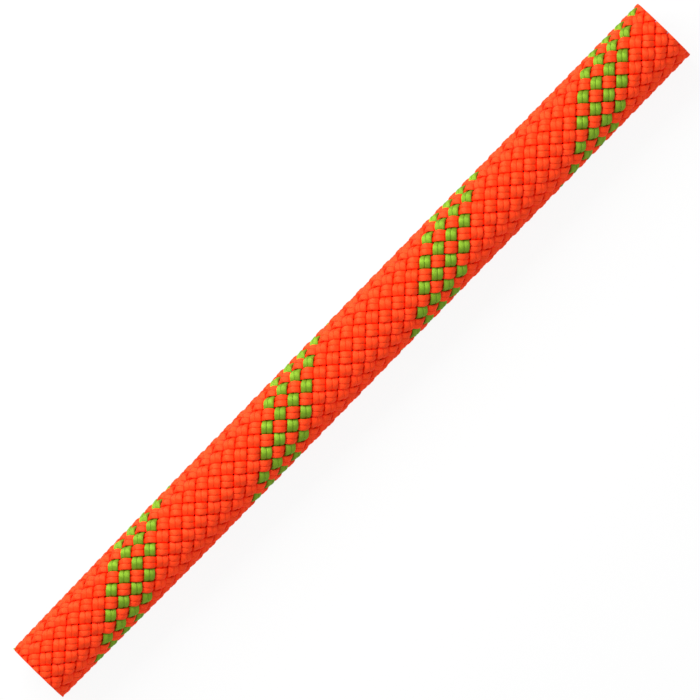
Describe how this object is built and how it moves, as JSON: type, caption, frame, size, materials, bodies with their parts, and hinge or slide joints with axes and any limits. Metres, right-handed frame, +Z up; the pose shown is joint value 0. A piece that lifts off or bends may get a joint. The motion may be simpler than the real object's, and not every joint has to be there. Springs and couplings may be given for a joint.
{
  "type": "dynamic climbing rope",
  "caption": "Short cut length of climbing rope: a braided orange sheath with lime tracer strands, which can slip a little over a straight bundle of core strands.",
  "frame": {"origin": "under the middle of the sample, on the surface that the rope lies on", "axes": "+X along the rope, towards the end at the upper right of the picture; +Z up"},
  "size_m": [0.1248, 0.01, 0.0097],
  "materials": {
    "lime_yarn": "satin lime nylon yarn",
    "orange_yarn": "satin fluorescent orange nylon yarn",
    "core_yarn": "satin undyed nylon yarn",
    "marker_yarn": "satin blue nylon yarn"
  },
  "bodies": {
    "core": {"core_strand_1": "core_yarn", "core_strand_2": "core_yarn", "core_strand_3": "core_yarn", "core_strand_4": "core_yarn", "core_strand_5": "core_yarn", "core_strand_6": "core_yarn", "core_strand_7": "core_yarn", "core_strand_8": "core_yarn", "core_strand_9": "core_yarn", "core_strand_10": "core_yarn", "core_strand_11": "core_yarn", "core_strand_12": "core_yarn", "marker_yarn": "marker_yarn"},
    "sheath": {"tracer_strand_1": "lime_yarn", "tracer_strand_2": "lime_yarn", "tracer_strand_3": "lime_yarn", "tracer_strand_4": "lime_yarn", "left_strand_5": "orange_yarn", "left_strand_6": "orange_yarn", "left_strand_7": "orange_yarn", "left_strand_8": "orange_yarn", "left_strand_9": "orange_yarn", "left_strand_10": "orange_yarn", "left_strand_11": "orange_yarn", "left_strand_12": "orange_yarn", "right_strand_1": "orange_yarn", "right_strand_2": "orange_yarn", "right_strand_3": "orange_yarn", "right_strand_4": "orange_yarn", "right_strand_5": "orange_yarn", "right_strand_6": "orange_yarn", "right_strand_7": "orange_yarn", "right_strand_8": "orange_yarn", "right_strand_9": "orange_yarn", "right_strand_10": "orange_yarn", "right_strand_11": "orange_yarn", "right_strand_12": "orange_yarn"}
  },
  "joints": [
    {"name": "sheath_slip", "type": "slide", "parent": "core", "child": "sheath", "axis": [1, 0, 0], "range_m": [-0.00125, 0.00125]}
  ]
}
